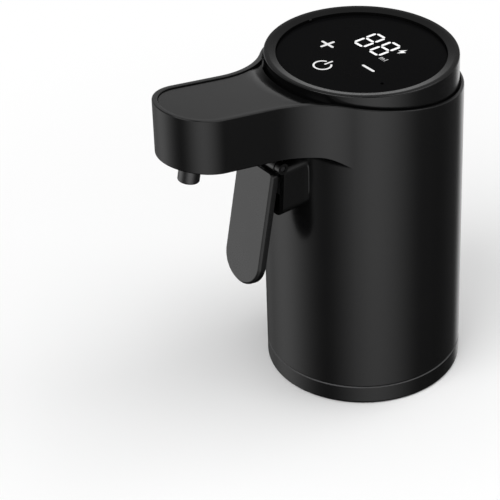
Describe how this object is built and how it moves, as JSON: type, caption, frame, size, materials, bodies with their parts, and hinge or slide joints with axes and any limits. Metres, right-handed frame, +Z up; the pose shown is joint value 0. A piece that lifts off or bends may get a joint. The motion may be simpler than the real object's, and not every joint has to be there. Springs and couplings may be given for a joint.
{
  "type": "electric wine pourer",
  "caption": "Matte black bottle-top electric wine pourer with a sloping spout arm, round touch display, press lever and a gear pump that draws through a stopper in the bottle's neck.",
  "frame": {"origin": "centre of the neck socket's mouth, in the base plane on the body's axis", "axes": "+Z up along the body's axis, -Y along the spout arm, X across the arm"},
  "size_m": [0.058, 0.0986, 0.1103],
  "materials": {
    "body_plastic": "fine moulded texture, matte black",
    "lever_plastic": "fine moulded texture, matte black",
    "lens_glass": "polished black display window",
    "dark_nylon": "moulded, matte",
    "grey_silicone": "soft silicone",
    "black_rubber": "rubber",
    "steel": "plain steel",
    "pump_plastic": "glass-filled plastic",
    "gear_plastic": "acetal",
    "motor_steel": "zinc-plated",
    "magnet": "ferrite",
    "bronze": "sintered bronze",
    "laminated_steel": "laminated",
    "copper": "copper",
    "motor_plastic": "moulded",
    "cell_wrap": "shrink wrap",
    "clear_silicone": "translucent silicone",
    "nozzle_plastic": "moulded, matte black",
    "display_black": "potted",
    "circuit_board": "solder mask",
    "chip_plastic": "moulded",
    "gilt_spring": "gilt",
    "switch_plastic": "moulded",
    "plunger_plastic": "moulded",
    "lead_sleeve": "insulated lead"
  },
  "bodies": {
    "housing": {"body_shell": "body_plastic", "base_ring": "body_plastic", "base_screws": "steel", "neck_sleeve": "dark_nylon", "neck_gasket": "grey_silicone", "bottle_stopper": "grey_silicone", "intake_tube": "steel", "vent_valve": "grey_silicone", "pump_mounts": "grey_silicone", "pump_body": "pump_plastic", "pump_cover": "pump_plastic", "pump_screws": "steel", "idler_pin": "steel", "shaft_seal": "black_rubber", "motor_can": "motor_steel", "motor_magnets": "magnet", "motor_bushes": "bronze", "motor_end_cap": "motor_plastic", "battery_cell": "cell_wrap", "battery_cradle": "dark_nylon", "outlet_hose": "clear_silicone", "nozzle": "nozzle_plastic", "nozzle_seal": "black_rubber", "nozzle_screws": "steel", "arm_cover": "body_plastic", "display_bezel": "body_plastic", "display_lens": "lens_glass", "digit_display": "display_black", "control_board": "circuit_board", "board_parts": "chip_plastic", "touch_springs": "gilt_spring", "board_screws": "steel", "usb_board": "circuit_board", "usb_socket": "steel", "usb_screws": "steel", "switch_housing": "body_plastic", "switch_screws": "steel", "micro_switch": "switch_plastic", "hinge_pin": "steel", "motor_leads": "lead_sleeve", "battery_leads": "lead_sleeve", "switch_leads": "lead_sleeve"},
    "trigger": {"trigger_lever": "lever_plastic", "trigger_spring": "steel"},
    "plunger": {"switch_plunger": "plunger_plastic"},
    "pump_drive": {"drive_gear": "gear_plastic", "motor_shaft": "steel", "motor_armature": "laminated_steel", "motor_commutator": "copper"},
    "pump_idler": {"idler_gear": "gear_plastic"}
  },
  "joints": [
    {"name": "trigger_hinge", "type": "hinge", "parent": "housing", "child": "trigger", "pos_m": [0, -0.0362, 0.0826], "axis": [1, 0, 0], "range_deg": [0, 7], "stiffness_Nm_per_rad": 0.06, "springref_deg": -20.05},
    {"name": "switch_travel", "type": "slide", "parent": "housing", "child": "plunger", "axis": [0, 1, 0], "range_m": [0, 0.00092]},
    {"name": "pump_drive_spin", "type": "hinge", "parent": "housing", "child": "pump_drive", "pos_m": [-0.0045, -0.005, 0.045], "axis": [0, 0, 1], "continuous": true},
    {"name": "pump_idler_spin", "type": "hinge", "parent": "housing", "child": "pump_idler", "pos_m": [0.0045, -0.005, 0.045], "axis": [0, 0, 1], "continuous": true}
  ],
  "couplings": [
    {"joint": "switch_travel", "follows": "trigger_hinge", "m_per_rad": 0.0074},
    {"joint": "pump_idler_spin", "follows": "pump_drive_spin", "ratio": -1}
  ]
}
